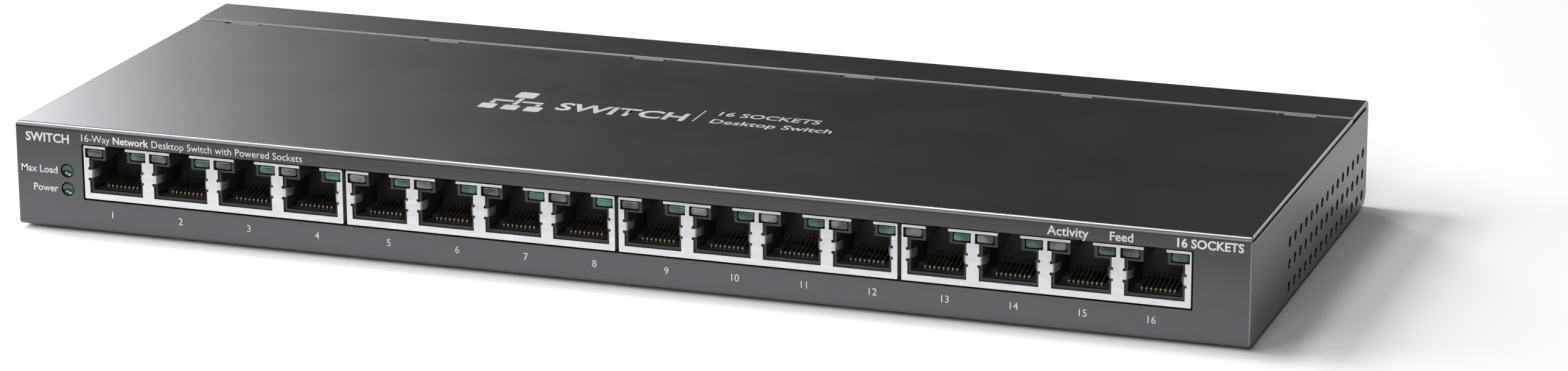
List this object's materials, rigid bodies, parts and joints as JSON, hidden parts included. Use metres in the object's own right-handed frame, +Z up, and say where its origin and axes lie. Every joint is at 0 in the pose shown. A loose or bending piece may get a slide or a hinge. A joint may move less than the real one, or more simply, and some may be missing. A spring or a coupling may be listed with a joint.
{
  "type": "desktop network switch",
  "caption": "Flat folded-metal desktop network switch with a long row of shielded network sockets on the front and vented sides.",
  "frame": {"origin": "middle of the footprint, on the plane that the rubber feet stand on", "axes": "+Z up; the sockets face -Y; +X runs to the right as seen from the socket side"},
  "size_m": [0.286, 0.1116, 0.0254],
  "materials": {
    "case_paint": "satin dark-grey powder coat on folded steel sheet",
    "tin_plate": "bright tin plate",
    "black_plastic": "moulded black nylon",
    "gold_contact": "gold-plated spring wire",
    "clear_light": "unlit water-clear light guide",
    "green_light": "green light guide",
    "board_laminate": "green solder mask on glass laminate",
    "chip_resin": "black moulded resin",
    "bare_aluminium": "plain aluminium",
    "zinc_screw": "zinc-plated steel",
    "foot_rubber": "matt black rubber",
    "pad_silicone": "grey-blue silicone pad"
  },
  "bodies": {
    "root": {"board_screw_1": "zinc_screw", "board_screw_2": "zinc_screw", "board_screw_3": "zinc_screw", "board_screw_4": "zinc_screw", "board_screw_5": "zinc_screw", "board_screw_6": "zinc_screw", "bulk_capacitor_1": "bare_aluminium", "bulk_capacitor_2": "bare_aluminium", "chassis": "case_paint", "clock_crystal": "bare_aluminium", "cover_screw_1": "zinc_screw", "cover_screw_2": "zinc_screw", "cover_screw_3": "zinc_screw", "dc_inlet": "black_plastic", "dc_inlet_pin": "zinc_screw", "foot_1": "foot_rubber", "foot_2": "foot_rubber", "foot_3": "foot_rubber", "foot_4": "foot_rubber", "front_top_cover": "case_paint", "heat_sink": "bare_aluminium", "jack_contacts_1": "gold_contact", "jack_contacts_2": "gold_contact", "jack_contacts_3": "gold_contact", "jack_contacts_4": "gold_contact", "jack_housing_1": "black_plastic", "jack_housing_2": "black_plastic", "jack_housing_3": "black_plastic", "jack_housing_4": "black_plastic", "jack_lights_1": "clear_light", "jack_lights_2": "clear_light", "jack_lights_3": "clear_light", "jack_lights_4": "clear_light", "jack_shield_1": "tin_plate", "jack_shield_2": "tin_plate", "jack_shield_3": "tin_plate", "jack_shield_4": "tin_plate", "load_light_pipe": "green_light", "load_light_source": "clear_light", "magnetics_1": "chip_resin", "magnetics_2": "chip_resin", "magnetics_3": "chip_resin", "magnetics_4": "chip_resin", "magnetics_5": "chip_resin", "magnetics_6": "chip_resin", "magnetics_7": "chip_resin", "magnetics_8": "chip_resin", "main_board": "board_laminate", "phy_chip_1": "chip_resin", "phy_chip_2": "chip_resin", "power_inductor": "chip_resin", "power_light_pipe": "green_light", "power_light_source": "clear_light", "power_port_controller_1": "chip_resin", "power_port_controller_2": "chip_resin", "switch_chip": "chip_resin", "thermal_pad": "pad_silicone"}
  },
  "joints": []
}
